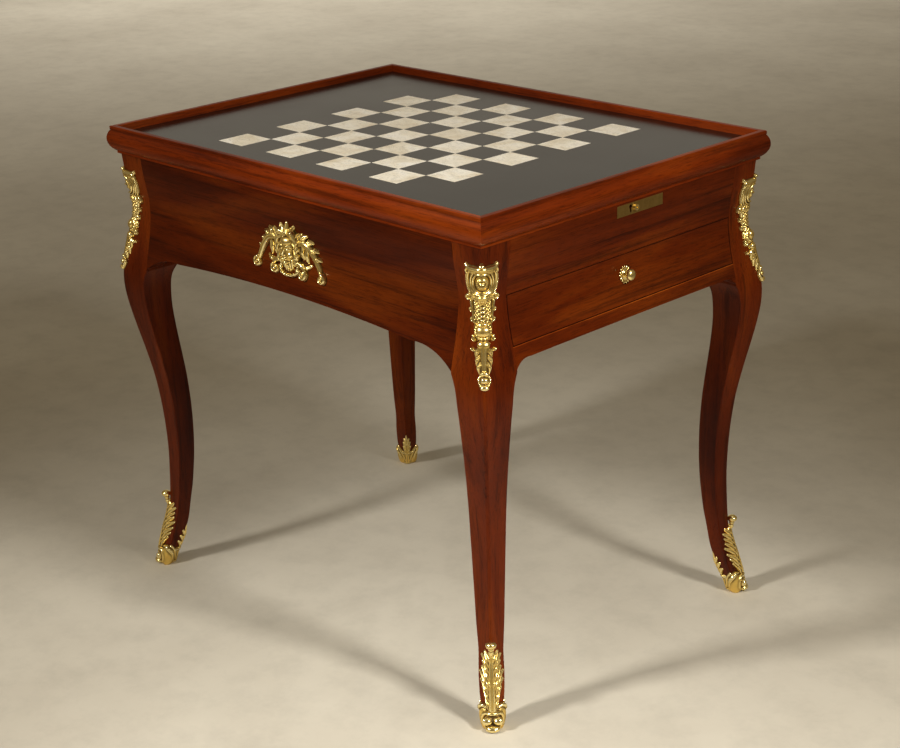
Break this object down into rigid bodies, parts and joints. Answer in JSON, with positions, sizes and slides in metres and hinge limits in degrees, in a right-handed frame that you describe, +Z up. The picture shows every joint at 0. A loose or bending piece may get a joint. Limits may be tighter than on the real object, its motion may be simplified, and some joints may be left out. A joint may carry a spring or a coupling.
{
  "type": "tric trac table",
  "caption": "Writing-height games table with lift-off chessboard tray, sunk backgammon well, end drawer, cabriole legs and gilt mounts.",
  "frame": {"origin": "on the floor under the middle of the table", "axes": "+X towards the end with the drawer and lock, -Y towards the long front with the mask, +Z up"},
  "size_m": [0.8142, 0.6072, 0.75],
  "materials": {
    "rosewood": "french polished",
    "leg_rosewood": "french polished",
    "ebonised_wood": "glossy black polish",
    "oak": "unpolished",
    "bone": "polished bone inlay",
    "green_stained_bone": "polished stained inlay",
    "gilt_bronze": "chased and gilt",
    "old_brass": "dull, rubbed",
    "iron": "filed"
  },
  "bodies": {
    "table": {"back_apron": "rosewood", "back_mask": "gilt_bronze", "centre_bar": "ebonised_wood", "corner_mount_back_left": "gilt_bronze", "corner_mount_back_right": "gilt_bronze", "corner_mount_front_left": "gilt_bronze", "corner_mount_front_right": "gilt_bronze", "cross_rail": "oak", "dark_points": "green_stained_bone", "drawer_rail": "rosewood", "drawer_runner_back": "oak", "drawer_runner_front": "oak", "front_apron": "rosewood", "front_mask": "gilt_bronze", "left_apron": "rosewood", "leg_back_left": "leg_rosewood", "leg_back_right": "leg_rosewood", "leg_front_left": "leg_rosewood", "leg_front_right": "leg_rosewood", "light_points": "bone", "lock_case": "iron", "lock_plate": "old_brass", "lock_plate_pins": "old_brass", "lock_rail": "rosewood", "lock_stud": "old_brass", "mount_pins": "gilt_bronze", "peg_hole_rings": "bone", "sabot_back_left": "gilt_bronze", "sabot_back_right": "gilt_bronze", "sabot_front_left": "gilt_bronze", "sabot_front_right": "gilt_bronze", "well_band_back": "rosewood", "well_band_front": "rosewood", "well_band_left": "rosewood", "well_band_right": "rosewood", "well_border_back": "rosewood", "well_border_front": "rosewood", "well_border_left": "rosewood", "well_border_right": "rosewood", "well_floor": "ebonised_wood"},
    "tray": {"tray_batten_back": "oak", "tray_batten_front": "oak", "tray_panel": "ebonised_wood", "tray_rim_back": "rosewood", "tray_rim_front": "rosewood", "tray_rim_left": "rosewood", "tray_rim_right": "rosewood", "tray_strike": "old_brass", "light_squares": "bone", "mitre_tongues": "oak", "strike_screws": "old_brass"},
    "drawer": {"drawer_front": "rosewood", "drawer_side_front": "oak", "drawer_side_back": "oak", "drawer_back": "oak", "drawer_bottom": "oak", "drawer_knob": "gilt_bronze", "knob_rosette": "gilt_bronze", "knob_nut": "gilt_bronze"},
    "bolt": {"lock_bolt": "iron"}
  },
  "joints": [
    {"name": "tray_lift", "type": "slide", "parent": "table", "child": "tray", "axis": [0, 0, 1], "range_m": [0, 0.15]},
    {"name": "drawer_slide", "type": "slide", "parent": "table", "child": "drawer", "axis": [1, 0, 0], "range_m": [0, 0.26]},
    {"name": "bolt_throw", "type": "slide", "parent": "table", "child": "bolt", "axis": [0, 0, 1], "range_m": [0, 0.008]}
  ]
}
